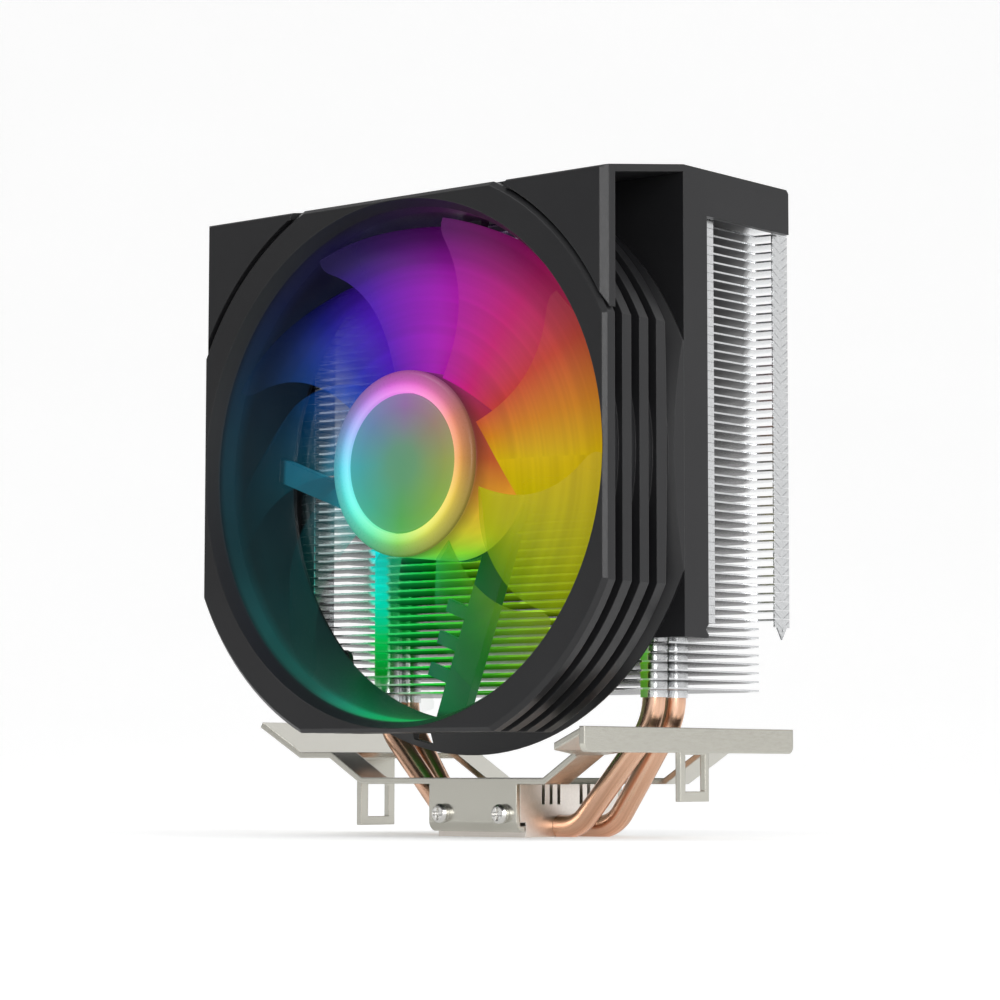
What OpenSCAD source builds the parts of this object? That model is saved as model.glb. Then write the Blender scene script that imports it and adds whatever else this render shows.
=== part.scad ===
// CPU tower cooler: base block, two U-shaped heat pipes, fin stack, clip, shroud and a 120 mm fan.
// Millimetres, +Z up. The fan faces -Y. The origin is the centre of the base's contact face.

/* [Placement] */
// Height of the fan's axis above the contact face
axis_height = 83.5; // [83:0.25:84]
// Distance of the fan's front face in front of the base's centre
front_reach = 47; // [46.5:0.25:47.5]

/* [Fan] */
// Width across the fan's flats
fan_width = 120; // [119:0.5:120]
// Radius of the fan's round outline
ring_radius = 66.4; // [66:0.1:67]
// Radius of the air duct
duct_radius = 57.2; // [56.8:0.1:57.5]
// Depth of the fan from its front face to the shroud's wall
fan_depth = 28; // [28:0.1:28.4]
// Radius of the rotor's hub
hub_radius = 21; // [20.8:0.1:21.2]
// Number of fan blades
blade_count = 9; // [7:1:11]
// Radius of the blade tips
tip_radius = 55.6; // [54:0.2:56]

/* [Shroud] */
// Depth of the shroud's top, from the fan's front face to its rear edge
shroud_depth = 68.4; // [66:0.2:70]
// Rise of the top plate from its front edge to the wall
top_rise = 4; // [3.5:0.1:4.5]
// Thickness of the moulded walls
wall = 1.6; // [1.4:0.1:1.8]
// Depth of the narrow side strips behind the wall
strip_depth = 8.7; // [7:0.1:10]
// Height of the shroud's bottom edge
shroud_bottom = 44; // [43:0.5:46]

/* [Fins] */
// Number of fins with folded corner tabs
tabbed_fins = 48; // [40:1:48]
// Number of plain fins under them
plain_fins = 8; // [6:1:8]
// Distance from one fin to the next
fin_pitch = 2; // [1.9:0.05:2]
// Thickness of a fin
fin_thickness = 0.4; // [0.3:0.05:0.5]
// Width of the fin stack
fin_width = 115; // [113:0.5:116]
// Depth of the fin stack
fin_depth = 40.1; // [38:0.1:41]
// Height of the lowest fin
fin_bottom = 32.9; // [32.8:0.1:33.4]

/* [Heat pipes and base] */
// Diameter of a heat pipe
pipe_diameter = 5.2; // [5:0.1:5.6]
// Distance between the two pipes
pipe_spacing = 7.7; // [7.2:0.1:8.4]
// Distance of the upright legs from the centre
leg_offset = 40.1; // [39.5:0.1:40.5]
// Width of the base block
block_width = 26; // [25:0.2:26]
// Depth of the base block
block_depth = 36; // [35.8:0.1:36.2]
// Height of the base block
block_height = 12; // [11.8:0.1:12.2]

/* [Clip] */
// Thickness of the clip's sheet
sheet = 1.4; // [1.2:0.1:1.5]
// Distance between the two hooks, outer face to outer face
hook_span = 96.2; // [95.6:0.1:96.6]
// Length of the long side flange
flange_length = 78.2; // [76:0.2:80]

/* [Hidden] */
$fn = 96;

half_width = fan_width / 2;
chamfer = 1;
flat_chamfer = 0.9;
eps = 0.01;
gap = 0.3;

// Fan depths, measured back from the fan's front face
bezel_depth = 3.4;
rib_starts = [6, 12, 18];
rib_depth = 3.1;
groove_radius = 58.9;
flare_start = 23.6;
flare_radius = 65;
opening_radius = 59.2;
blade_front = 4.4;
blade_rear = 21.2;

// Motor
motor_base_front = 23.2;
motor_base_rear = 26;
shaft_radius = 1.5;
shaft_clearance = 0.03;
sleeve_radius = 3.2;
tube_radius = 4.5;
lens_width = 5.2;
strut_angle = -110.5;
strut_offset = 16.8;
strut_width = 5.4;
channel_strut_width = 7.4;

// Fan screws
fan_screw_circle = 59.7;
fan_screw_radius = 1.2;
screw_offset = fan_screw_circle * cos(45);

// Shroud
top_z = axis_height + half_width + top_rise;
wall_y = fan_depth - front_reach;
rear_y = shroud_depth - front_reach;
side_bottom = top_z - 10.3;
corner_gap = 0.5;
corner_plate = 3.6;
plate_chamfer = 1.5;
ear_radius = 3.8;

// Fins
fin_front_y = -15.8;
fin_rear_y = fin_front_y + fin_depth;
fin_recess = 4.3;
front_tab_y = -4.5;
rear_tab_y = 18.5;
plain_corner = 6;
tab_drop = fin_pitch - fin_thickness - 0.1;
collar_wall = 0.45;
tooth_pitch = 3.7;
tooth_depth = 1.3;

// Heat pipes
pipe_radius = pipe_diameter / 2;
pipe_axis_z = 2.3;
lower_bend = 8;
upper_bend = 15;
front_foot_x = 18.7;
front_rise_angle = 48;
rear_foot_x = 23;
rear_rise_angle = 55.5;
pipe_top_z = 144.6;
pipe_sides = 32;
bend_steps = 7;

// Base block
ledge_depth = 2;
ledge_height = 3.4;
slot_width = 1.2;
slot_depth = 4.6;
slot_places = [4.1, 6.9, 9.7];
clip_screw_x = 8.9;
clip_screw_z = 5.3;
clip_screw_radius = 1.25;
clip_screw_length = 7;

// Clip
bar_z = block_height;
bar_half = block_depth / 2 + sheet;
bar_width = 9;
right_bend_x = 21;
right_rear_bend_x = 32.5;
rear_arm_slope = 0.62;
wing_knee = [31, 18.5];
wing_lip = [39.3, 19.5];
wing_rear_x = 43.5;
left_front_bend_x = -34.5;
left_rear_bend_x = -21.5;
left_rear_shelf_x = -31.2;
shelf_x = -44.4;
shelf_z = 18;
lever_x = -54;
tip_x = -67.2;
tip_z = 25.4;
flange_top_z = 24.6;
flange_bottom_z = 19;
right_hook_plate = [0.5, 5.3, 8.2, flange_bottom_z + 1];
right_hook_window = [0.7, 3.7, 10.5, 18.6];
left_hook_plate = [0.3, 6, 2, shelf_z + sheet / 2];
left_hook_window = [0.5, 3.7, 4.1, 11.8];
hook_x = hook_span / 2;

// The fan's own axes: X right and Y up seen from the front, and Z out of its front face
module fan_view() {
    translate([0, -front_reach, axis_height])
        rotate([90, 0, 0])
            children();
}

// Ring about the fan's axis between two depths
module fan_ring(outer, inner, from, to) {
    fan_view()
        translate([0, 0, -to])
            difference() {
                cylinder(r = outer, h = to - from);
                if (inner > 0)
                    translate([0, 0, -1])
                        cylinder(r = inner, h = to - from + 2);
            }
}

// Outline in the YZ plane, extruded along X from x to x + length
module along_x(x, length) {
    translate([x, 0, 0])
        rotate([90, 0, 90])
            linear_extrude(height = length)
                children();
}

// Outline in the XZ plane, extruded along Y from y to y + length
module along_y(y, length) {
    translate([0, y + length, 0])
        rotate([90, 0, 0])
            linear_extrude(height = length)
                children();
}

// Both sides of the object, left and right
module both_sides() {
    children();
    mirror([1, 0, 0])
        children();
}

function unit(v) = v / norm(v);
function left_normal(a, b) = let (d = unit(b - a)) [-d[1], d[0]];
function miter(p, i) =
    i == 0 ? left_normal(p[0], p[1]) :
    i == len(p) - 1 ? left_normal(p[i - 1], p[i]) :
    let (a = left_normal(p[i - 1], p[i]), b = left_normal(p[i], p[i + 1]))
        (a + b) / (1 + a * b);

// Bent strip of sheet: its lower line and its thickness above it
module bent_strip(line, thickness) {
    polygon(concat(line, [for (i = [len(line) - 1:-1:0]) line[i] + thickness * miter(line, i)]));
}

// ---------- Heat pipes and base ----------

// Centre line of one half of a pipe, as [x, z] points from the middle to the top
function half_path(foot_x, rise_angle) =
    let (
        knee_z = pipe_axis_z + (leg_offset - foot_x) * tan(rise_angle),
        low = [foot_x - lower_bend * tan(rise_angle / 2), pipe_axis_z + lower_bend],
        high = [leg_offset - upper_bend, knee_z + upper_bend * tan((90 - rise_angle) / 2)]
    )
    concat(
        [for (i = [0:bend_steps])
            let (a = -90 + rise_angle * i / bend_steps)
                low + lower_bend * [cos(a), sin(a)]],
        [for (i = [0:bend_steps])
            let (a = rise_angle - 90 + (90 - rise_angle) * i / bend_steps)
                high + upper_bend * [cos(a), sin(a)]],
        [[leg_offset, pipe_top_z]]
    );
function mirrored_path(half) =
    concat([for (i = [len(half) - 1:-1:0]) [-half[i][0], half[i][1]]], half);

// Tube swept along a path in the XZ plane
module pipe_sweep(path, radius) {
    rings = len(path);
    points = [
        for (i = [0:rings - 1])
            let (n = miter(path, i))
                for (s = [0:pipe_sides - 1])
                    let (a = 360 * s / pipe_sides)
                        [path[i][0] + radius * cos(a) * n[0], radius * sin(a),
                         path[i][1] + radius * cos(a) * n[1]]
    ];
    sides = [
        for (i = [0:rings - 2])
            for (s = [0:pipe_sides - 1])
                let (t = (s + 1) % pipe_sides)
                    [i * pipe_sides + s, i * pipe_sides + t,
                     (i + 1) * pipe_sides + t, (i + 1) * pipe_sides + s]
    ];
    start_cap = [[for (s = [pipe_sides - 1:-1:0]) s]];
    end_cap = [[for (s = [0:pipe_sides - 1]) (rings - 1) * pipe_sides + s]];
    polyhedron(points = points, faces = concat(sides, start_cap, end_cap), convexity = 6);
}

// U-shaped pipe, milled flat where it meets the processor
module heat_pipe(y, foot_x, rise_angle) {
    translate([0, y, 0])
        difference() {
            pipe_sweep(mirrored_path(half_path(foot_x, rise_angle)), pipe_radius);
            translate([-leg_offset, -pipe_diameter, -pipe_diameter])
                cube([2 * leg_offset, 2 * pipe_diameter, pipe_diameter]);
        }
}

module heat_pipe_front() {
    color("peru")
        heat_pipe(-pipe_spacing / 2, front_foot_x, front_rise_angle);
}

module heat_pipe_rear() {
    color("peru")
        heat_pipe(pipe_spacing / 2, rear_foot_x, rear_rise_angle);
}

// Two cylinders along Y where the clip's screws go, from y = side * start inwards
module clip_screw_shanks(radius, side, start, length) {
    for (x = [-clip_screw_x, clip_screw_x])
        translate([x, side * start, clip_screw_z])
            rotate([side * 90, 0, 0])
                cylinder(r = radius, h = length);
}

module base_block() {
    w = block_width;
    d = block_depth;
    h = block_height;
    color("silver")
        difference() {
            translate([-w / 2, -d / 2, 0])
                cube([w, d, h]);
            for (side = [-1, 1]) {
                translate([-w, side * d / 2 - ledge_depth, -1])
                    cube([2 * w, 2 * ledge_depth, ledge_height + 1]);
                for (y = slot_places)
                    translate([-w, side * y - slot_width / 2, h - slot_depth])
                        cube([2 * w, slot_width, slot_depth + 1]);
                translate([-w, side * pipe_spacing / 2, pipe_axis_z])
                    rotate([0, 90, 0])
                        cylinder(r = pipe_radius + 0.03, h = 2 * w);
                clip_screw_shanks(clip_screw_radius + 0.05, side, d / 2 + 1, clip_screw_length + 2);
            }
        }
}

// ---------- Fins ----------

// Saw-tooth front edge of a fin, from x = -half to x = half
function front_teeth(half) =
    let (count = floor(2 * half / tooth_pitch), start = -count * tooth_pitch / 2)
        [for (i = [0:count - 1])
            for (p = [[start + i * tooth_pitch, fin_front_y],
                      [start + (i + 1) * tooth_pitch, fin_front_y + tooth_depth]])
                p];

// One tabbed fin seen from above, with side recesses
module tabbed_outline() {
    h = fin_width / 2;
    r = h - fin_recess;
    right_side = [
        [h, fin_front_y], [h, front_tab_y], [r, front_tab_y + 0.8],
        [r, rear_tab_y - 0.8], [h, rear_tab_y], [h, fin_rear_y]
    ];
    left_side = [for (i = [len(right_side) - 1:-1:0]) [-right_side[i][0], right_side[i][1]]];
    polygon(concat(right_side, left_side, front_teeth(r - 1)));
}

module plain_outline() {
    r = fin_width / 2 - fin_recess;
    c = r - plain_corner;
    polygon([
        [r, fin_front_y], [r, fin_rear_y - plain_corner], [c, fin_rear_y],
        [-c, fin_rear_y], [-r, fin_rear_y - plain_corner], [-r, fin_front_y],
        each front_teeth(r - 1)
    ]);
}

// One fin from its outline, with a drawn collar round each pipe
module fin_plate() {
    difference() {
        union() {
            linear_extrude(height = fin_thickness)
                children();
            pipe_cylinders(pipe_radius + collar_wall, -tab_drop, tab_drop + eps);
        }
        pipe_cylinders(pipe_radius + 0.06, -tab_drop - 1, tab_drop + 2);
    }
}

module pipe_cylinders(radius, z, height) {
    for (x = [-leg_offset, leg_offset])
        for (y = [-pipe_spacing / 2, pipe_spacing / 2])
            translate([x, y, z])
                cylinder(r = radius, h = height);
}

// Folded tabs under a fin's four corners
module corner_tabs() {
    both_sides() {
        translate([fin_width / 2 - fin_thickness, fin_front_y, -tab_drop])
            cube([fin_thickness, front_tab_y - fin_front_y, tab_drop + eps]);
        translate([fin_width / 2 - fin_thickness, rear_tab_y, -tab_drop])
            cube([fin_thickness, fin_rear_y - rear_tab_y, tab_drop + eps]);
        translate([fin_width / 2 - fin_recess, fin_front_y, -tab_drop])
            cube([fin_recess - fin_thickness + eps, fin_thickness, tab_drop + eps]);
    }
}

// Pointed end of the rear columns, under the last tabbed fin, each with a small hole
module tab_points() {
    middle_y = (rear_tab_y + fin_rear_y) / 2;
    both_sides()
        along_x(fin_width / 2 - fin_thickness, fin_thickness)
            difference() {
                polygon([
                    [rear_tab_y + 1, eps - tab_drop], [fin_rear_y - 1, eps - tab_drop],
                    [middle_y, -tab_drop - 2.8]
                ]);
                translate([middle_y, -tab_drop - 0.7])
                    circle(r = 0.35);
            }
}

module plain_fins() {
    color("gainsboro")
        for (i = [0:plain_fins - 1])
            translate([0, 0, fin_bottom + i * fin_pitch])
                fin_plate()
                    plain_outline();
}

module tabbed_fins() {
    color("gainsboro")
        for (i = [0:tabbed_fins - 1])
            translate([0, 0, fin_bottom + (plain_fins + i) * fin_pitch]) {
                fin_plate()
                    tabbed_outline();
                corner_tabs();
                if (i == 0)
                    tab_points();
            }
}

// ---------- Clip ----------

// Front or rear leaf of the clip: bar on the block, upright leaf and curled lower edge
module clip_leaf() {
    bend = 2.4;
    along_x(-block_width / 2, block_width)
        difference() {
            union() {
                translate([-bar_half, 1.2])
                    square([sheet, bar_z + sheet - 1.2]);
                translate([-bar_half, 1.2])
                    square([sheet + 1.8, sheet]);
            }
            difference() {
                translate([-bar_half - 1, 0.2])
                    square([bend + 1, bend + 1]);
                translate([-bar_half + bend, 1.2 + bend])
                    circle(r = bend);
                translate([-bar_half - 2, 1.2 + bend])
                    square([bend * 3, bend]);
            }
        }
}

// Bar that lies on the block, from the front or rear leaf inwards
module clip_bar(left_x, right_x, side) {
    y = side < 0 ? -bar_half : bar_half - bar_width;
    translate([left_x, y, bar_z])
        cube([right_x - left_x, bar_width, sheet]);
}

// Right wing: the front arm, the plate under the flange's top edge, and the rear arm
module right_wing() {
    wing_half = flange_length / 2;
    arm_edge = bar_half - bar_width;
    start_x = right_bend_x - 3;
    end_x = hook_x - 0.1;
    intersection() {
        along_y(-wing_half, 2 * wing_half)
            bent_strip([
                [start_x, bar_z], [right_bend_x, bar_z], wing_knee, wing_lip, [end_x, flange_top_z - sheet]
            ], sheet);
        linear_extrude(height = 40)
            polygon([
                [start_x, -bar_half], [wing_knee[0] - 0.6, -bar_half], [wing_lip[0], 0.6 - wing_half],
                [hook_x, -wing_half], [hook_x, wing_half], [wing_rear_x, wing_half],
                [wing_rear_x, -arm_edge], [start_x, -arm_edge]
            ]);
    }
    along_y(arm_edge, bar_width)
        bent_strip([
            [right_rear_bend_x - 2, bar_z], [right_rear_bend_x, bar_z],
            [end_x, bar_z + rear_arm_slope * (end_x - right_rear_bend_x)]
        ], sheet);
}

// Long flange turned down from the right wing, with rounded lower corners
module right_flange() {
    half = flange_length / 2;
    corner = 1.8;
    along_x(hook_x - sheet, sheet)
        union() {
            translate([-half, flange_bottom_z + corner])
                square([2 * half, flange_top_z - flange_bottom_z - corner]);
            translate([corner - half, flange_bottom_z])
                square([2 * (half - corner), corner + eps]);
            for (s = [-1, 1])
                translate([s * (half - corner), flange_bottom_z + corner])
                    circle(r = corner);
        }
}

// Hook: an upright plate with a rectangular window for the socket's lug
module hook(x, plate, window) {
    along_x(x, sheet)
        difference() {
            hook_outline(plate);
            hook_outline(window);
        }
}

// Rectangle from its middle, half width, bottom and top
module hook_outline(part) {
    translate([part[0] - part[1], part[2]])
        square([2 * part[1], part[3] - part[2]]);
}

// Left side: front arm, rear arm, shelf and press lever
module left_arms() {
    along_y(-bar_half, bar_width)
        bent_strip([
            [left_front_bend_x + 2, bar_z], [left_front_bend_x, bar_z],
            [shelf_x, shelf_z], [shelf_x - 2, shelf_z]
        ], -sheet);
    along_y(bar_half - bar_width, bar_width)
        bent_strip([
            [left_rear_bend_x + 2, bar_z], [left_rear_bend_x, bar_z],
            [left_rear_shelf_x, shelf_z], [shelf_x - 2, shelf_z]
        ], -sheet);
    along_y(-bar_half, 2 * bar_half)
        bent_strip([
            [shelf_x, shelf_z], [lever_x, shelf_z], [tip_x, tip_z]
        ], -sheet);
}

module clip_blank() {
    color([0.78, 0.77, 0.73])
        union() {
            clip_leaf();
            mirror([0, 1, 0])
                clip_leaf();
            clip_bar(left_front_bend_x, right_bend_x, -1);
            clip_bar(left_rear_bend_x, right_rear_bend_x, 1);
            right_wing();
            right_flange();
            hook(hook_x - sheet, right_hook_plate, right_hook_window);
            left_arms();
            hook(-hook_x, left_hook_plate, left_hook_window);
        }
}

// Two pan-head screws through one leaf of the clip
module clip_screws(side) {
    head_radius = 2.2;
    head_height = 1.9;
    y = bar_half;
    slot = [0.7, 2.9, 0.9];
    for (x = [-clip_screw_x, clip_screw_x])
        translate([x, side * y, clip_screw_z])
            rotate([-side * 90, 0, 0])
                difference() {
                    union() {
                        cylinder(r = head_radius, h = head_height - 0.6);
                        translate([0, 0, head_height - 0.6 - eps])
                            cylinder(r1 = head_radius, r2 = head_radius - 0.6, h = 0.6 + eps);
                        translate([0, 0, -clip_screw_length])
                            cylinder(r = clip_screw_radius, h = clip_screw_length + eps);
                    }
                    for (a = [0, 90])
                        rotate([0, 0, a])
                            translate([-slot[0] / 2, -slot[1] / 2, head_height - slot[2]])
                                cube([slot[0], slot[1], 2]);
                }
}

// Clearance holes in the clip's leaves
module clip_screw_holes() {
    for (side = [-1, 1])
        clip_screw_shanks(clip_screw_radius + 0.15, side, bar_half + 1, 4);
}

module mounting_clip() {
    color([0.78, 0.77, 0.73])
        difference() {
            clip_blank();
            clip_screw_holes();
        }
}

module front_clip_screws() {
    color([0.85, 0.85, 0.82])
        clip_screws(-1);
}

module rear_clip_screws() {
    color([0.85, 0.85, 0.82])
        clip_screws(1);
}

// ---------- Shroud ----------

// Side view of a side panel: tall strip behind the wall and a deep band along the top
module side_panel_outline() {
    strip_y = wall_y + strip_depth;
    nick = 1.1;
    nick_z = shroud_bottom + 1.8;
    polygon([
        [wall_y, shroud_bottom], [strip_y, shroud_bottom], [strip_y, nick_z - nick],
        [strip_y - nick, nick_z], [strip_y, nick_z + nick],
        [strip_y, side_bottom], [rear_y, side_bottom], [rear_y, top_z - 0.8],
        [rear_y - 0.8, top_z], [wall_y, top_z]
    ]);
}

// Top plate: rises from the fan's front face to the wall, then runs level
module top_plate() {
    front_z = top_z - top_rise;
    along_x(-half_width, fan_width)
        polygon([
            [-front_reach, front_z - chamfer], [-front_reach + chamfer, front_z],
            [wall_y, top_z], [rear_y - 0.8, top_z], [rear_y, top_z - 0.8], [rear_y, top_z - wall],
            [wall_y, top_z - wall], [-front_reach, front_z - wall - 0.2]
        ]);
}

// The two flat plates in the front corners beside the round fan
module corner_plates() {
    fan_view()
        difference() {
            translate([-half_width, 0, -corner_plate])
                cube([fan_width, half_width - 0.5, corner_plate]);
            translate([0, 0, -corner_plate - 1])
                cylinder(r = ring_radius + corner_gap, h = corner_plate + 2);
        }
}

// Removes the sharp front edges of both sides
module side_chamfer(width) {
    for (s = [-1, 1])
        translate([s * half_width, 0, 0])
            rotate([0, 45, 0])
                cube([width * sqrt(2), 200, width * sqrt(2)], center = true);
}

// Wall behind the fan with its round air opening
module shroud_wall() {
    opening = duct_radius + 0.6;
    difference() {
        union() {
            translate([-half_width, wall_y, shroud_bottom])
                cube([fan_width, wall, top_z - wall / 2 - shroud_bottom]);
            fan_screw_places()
                translate([0, 0, -fan_depth - wall])
                    cylinder(r = ear_radius, h = wall);
            both_sides()
                translate([screw_offset, wall_y, axis_height - screw_offset])
                    cube([ear_radius, wall, screw_offset]);
        }
        fan_ring(opening, 0, fan_depth - 1, fan_depth + wall + 1);
        for (x = [-1, 1])
            translate([x > 0 ? half_width : -half_width - 20, wall_y - 1, 0])
                cube([20, 10, 200]);
        fan_screw_places()
            translate([0, 0, -fan_depth - wall - 1])
                cylinder(r = fan_screw_radius + 0.2, h = wall + 2);
    }
}

// The four fan screws, at 45 degrees round the axis
module fan_screw_places() {
    fan_view()
        for (a = [45:90:315])
            rotate([0, 0, a])
                translate([fan_screw_circle, 0, 0])
                    children();
}

module shroud() {
    notch = half_width - 28;
    color([0.16, 0.16, 0.165])
        difference() {
            union() {
                top_plate();
                corner_plates();
                shroud_wall();
                both_sides()
                    along_x(half_width - wall, wall)
                        side_panel_outline();
            }
            fan_view()
                side_chamfer(plate_chamfer);
            translate([-notch, -front_reach - 1, axis_height])
                cube([2 * notch, bezel_depth + 1 + gap, 80]);
        }
}

// ---------- Fan frame ----------

// Half section of the frame: [radius, -depth] round the whole ring
rib_points = [
    for (d = rib_starts)
        let (rear = -d - rib_depth, foot = d == rib_starts[2] ? 0.6 : 0)
            for (p = [[groove_radius, -d], [ring_radius, -d], [ring_radius, rear], [groove_radius, rear - foot]])
                p
];
frame_section = concat(
    [[opening_radius, 0], [ring_radius - chamfer, 0], [ring_radius, -chamfer],
     [ring_radius, -bezel_depth], [groove_radius, -bezel_depth]],
    rib_points,
    [[groove_radius, -flare_start], [flare_radius, -fan_depth + 0.5], [flare_radius, -fan_depth],
     [duct_radius, -fan_depth], [duct_radius, -8], [duct_radius + 0.5, -3.4]]
);

// Removes everything beyond the four flats
module frame_flats() {
    reach = 2 * ring_radius;
    for (s = [-1, 1])
        translate([s > 0 ? half_width : -half_width - reach, -reach, -fan_depth - 1])
            cube([reach, 2 * reach, fan_depth + 2]);
    translate([-reach, half_width, -fan_depth - 1])
        cube([2 * reach, reach, fan_depth + 2]);
    translate([-reach, half_width - 1.8, -fan_depth - 1])
        cube([2 * reach, reach, fan_depth + 1 - bezel_depth]);
    translate([-reach, -half_width - reach, -flare_start + 1])
        cube([2 * reach, reach, flare_start + 1]);
    side_chamfer(flat_chamfer);
    for (s = [-1, 1])
        translate([0, s * half_width, 0])
            rotate([45, 0, 0])
                cube([200, flat_chamfer * sqrt(2), flat_chamfer * sqrt(2)], center = true);
}

// Struts from the motor base to the duct, each offset to one side of the axis
module struts() {
    for (k = [0:3]) {
        width = k == 0 ? channel_strut_width : strut_width;
        rotate([0, 0, strut_angle + 90 * k])
            translate([9, strut_offset - width / 2, -motor_base_rear])
                cube([46.4, width, motor_base_rear - motor_base_front]);
    }
}

// Wire guide: three small tabs beside the widest strut
module wire_guides() {
    guide = [3, 7.4, 1.2];
    guide_y = strut_offset - channel_strut_width / 2 - guide[1] + 0.1;
    rotate([0, 0, strut_angle])
        for (s = [30.5, 38.2, 45.9])
            translate([s - guide[0] / 2, guide_y, -motor_base_rear])
                cube(guide);
}

// Motor base with the tube that holds the bearing
module motor_base() {
    translate([0, 0, -motor_base_rear])
        cylinder(r = hub_radius, h = motor_base_rear - motor_base_front);
    translate([0, 0, -motor_base_front - eps])
        cylinder(r = tube_radius, h = motor_base_front - 9.2);
}

// Slot in the flare where the fan's lead leaves the frame
module lead_outlet() {
    rotate([0, 0, -102.5])
        translate([groove_radius + 1, -3, -fan_depth - 1])
            cube([3.4, 6, 6]);
}

module fan_frame() {
    color([0.2, 0.2, 0.205])
        fan_view()
            difference() {
                union() {
                    difference() {
                        rotate_extrude()
                            polygon(frame_section);
                        frame_flats();
                        lead_outlet();
                    }
                    intersection() {
                        struts();
                        translate([0, 0, -fan_depth])
                            cylinder(r = duct_radius + 0.4, h = fan_depth);
                    }
                    wire_guides();
                    motor_base();
                }
                translate([0, 0, -motor_base_rear - 1])
                    cylinder(r = sleeve_radius + 0.01, h = motor_base_rear);
                for (a = [45:90:315])
                    rotate([0, 0, a])
                        translate([fan_screw_circle, 0, -fan_depth - 1])
                            cylinder(r = fan_screw_radius + 0.05, h = 4.4);
            }
}

module fan_screws() {
    color([0.3, 0.3, 0.3])
        fan_screw_places()
            translate([0, 0, -fan_depth - wall]) {
                translate([0, 0, -1.3])
                    cylinder(r = 2.3, h = 1.3);
                cylinder(r = fan_screw_radius, h = wall + 3);
            }
}

// ---------- Motor, fixed side ----------

module bearing_sleeve() {
    color([0.72, 0.5, 0.25])
        fan_ring(sleeve_radius, shaft_radius + shaft_clearance, 9.6, 23.8);
}

module bearing_cap() {
    color([0.12, 0.12, 0.12])
        fan_ring(sleeve_radius, 0, motor_base_rear - 0.6, motor_base_rear);
}

// Stator: four poles with wide tips on a central ring
module stator_core() {
    pole_width = 3.6;
    tip_inner = 13;
    tip_outer = 15.2;
    front = 11;
    height = 7;
    color([0.45, 0.45, 0.47])
        fan_view()
            translate([0, 0, -front - height])
                difference() {
                    union() {
                        cylinder(r = 6.6, h = height);
                        for (a = [0:90:270])
                            rotate([0, 0, a])
                                translate([5, -pole_width / 2, 0])
                                    cube([tip_inner - 4, pole_width, height]);
                        difference() {
                            cylinder(r = tip_outer, h = height);
                            translate([0, 0, -1])
                                cylinder(r = tip_inner, h = height + 2);
                            for (a = [45:90:315])
                                rotate([0, 0, a])
                                    translate([0, -2, -1])
                                        cube([20, 4, height + 2]);
                        }
                    }
                    translate([0, 0, -1])
                        cylinder(r = tube_radius + 0.02, h = height + 2);
                }
}

// Box round each pole, with a rectangular hole of the given size
module pole_boxes(outer, inner, from, to, front, rear) {
    fan_view()
        for (a = [0:90:270])
            rotate([0, 0, a])
                difference() {
                    translate([from, -outer / 2, -rear])
                        cube([to - from, outer, rear - front]);
                    translate([from - 1, -inner[0] / 2, -14.5 - inner[1] / 2])
                        cube([to - from + 2, inner[0], inner[1]]);
                }
}

module coil_bobbins() {
    color([0.92, 0.92, 0.88])
        pole_boxes(4.8, [3.66, 7.06], 7.4, 12.7, 10.4, 18.6);
}

module stator_windings() {
    color([0.75, 0.4, 0.15])
        pole_boxes(8, [4.86, 8.26], 8.2, 12, 9.2, 19.4);
}

module motor_board() {
    color([0.1, 0.3, 0.16])
        fan_ring(16.8, tube_radius + 0.05, 20.6, 22);
}

// Eight light-emitting diodes round the motor board's rim, facing the hub's front
module board_leds() {
    size = [2, 2, 0.8];
    color([0.95, 0.95, 0.9])
        fan_view()
            for (a = [22.5:45:337.5])
                rotate([0, 0, a])
                    translate([13.6, -size[1] / 2, -20.6])
                        cube(size);
}

module speed_sensor() {
    color([0.1, 0.1, 0.1])
        fan_view()
            rotate([0, 0, 45])
                translate([9.2, -1.2, -20.6])
                    cube([2.6, 2.4, 1]);
}

// ---------- Rotor ----------

// Blade surface: rings of points from the hub to the tip, with u from the trailing edge to the leading edge
blade_rings = 9;
blade_steps = 9;
blade_chord_angle = 46;
blade_sweep = 24;
function blade_r(i) = hub_radius - 0.8 + (tip_radius - hub_radius + 0.8) * i / blade_rings;
function blade_thickness(i, u) = (1.5 - 0.7 * i / blade_rings) * (0.35 + 0.65 * sin(180 * u));
function blade_angle(i, u) =
    let (f = i / blade_rings)
        blade_sweep * f * f + (u - 0.5) * (blade_chord_angle - 8 * f);
function blade_depth(i, u) =
    let (f = i / blade_rings, front = blade_front + 1.6 * (1 - f), rear = blade_rear - 2.2 * f)
        front + (rear - front) * (1 - u - 0.12 * sin(180 * u));
function blade_point(i, u, side) =
    let (r = blade_r(i), a = blade_angle(i, u), t = side * blade_thickness(i, u) / 2)
        [r * cos(a), r * sin(a), -blade_depth(i, u) + t];

module blade() {
    n = 2 * blade_steps + 2;
    points = [
        for (i = [0:blade_rings])
            for (k = [0:n - 1])
                let (front = k <= blade_steps, step = front ? k : n - 1 - k)
                    blade_point(i, step / blade_steps, front ? 1 : -1)
    ];
    skin = [
        for (i = [0:blade_rings - 1])
            for (k = [0:n - 1])
                let (a = i * n + k, b = i * n + (k + 1) % n)
                    for (t = [[a, b, b + n], [a, b + n, a + n]])
                        t
    ];
    root = [
        for (j = [0:blade_steps - 1])
            for (t = [[j + 1, j, n - 1 - j], [j + 1, n - 1 - j, n - 2 - j]])
                t
    ];
    last = blade_rings * n;
    tip = [
        for (j = [0:blade_steps - 1])
            for (t = [[j, j + 1, n - 1 - j], [j + 1, n - 2 - j, n - 1 - j]])
                [for (v = t) last + v]
    ];
    polyhedron(points = points, faces = concat(skin, root, tip), convexity = 4);
}

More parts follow.
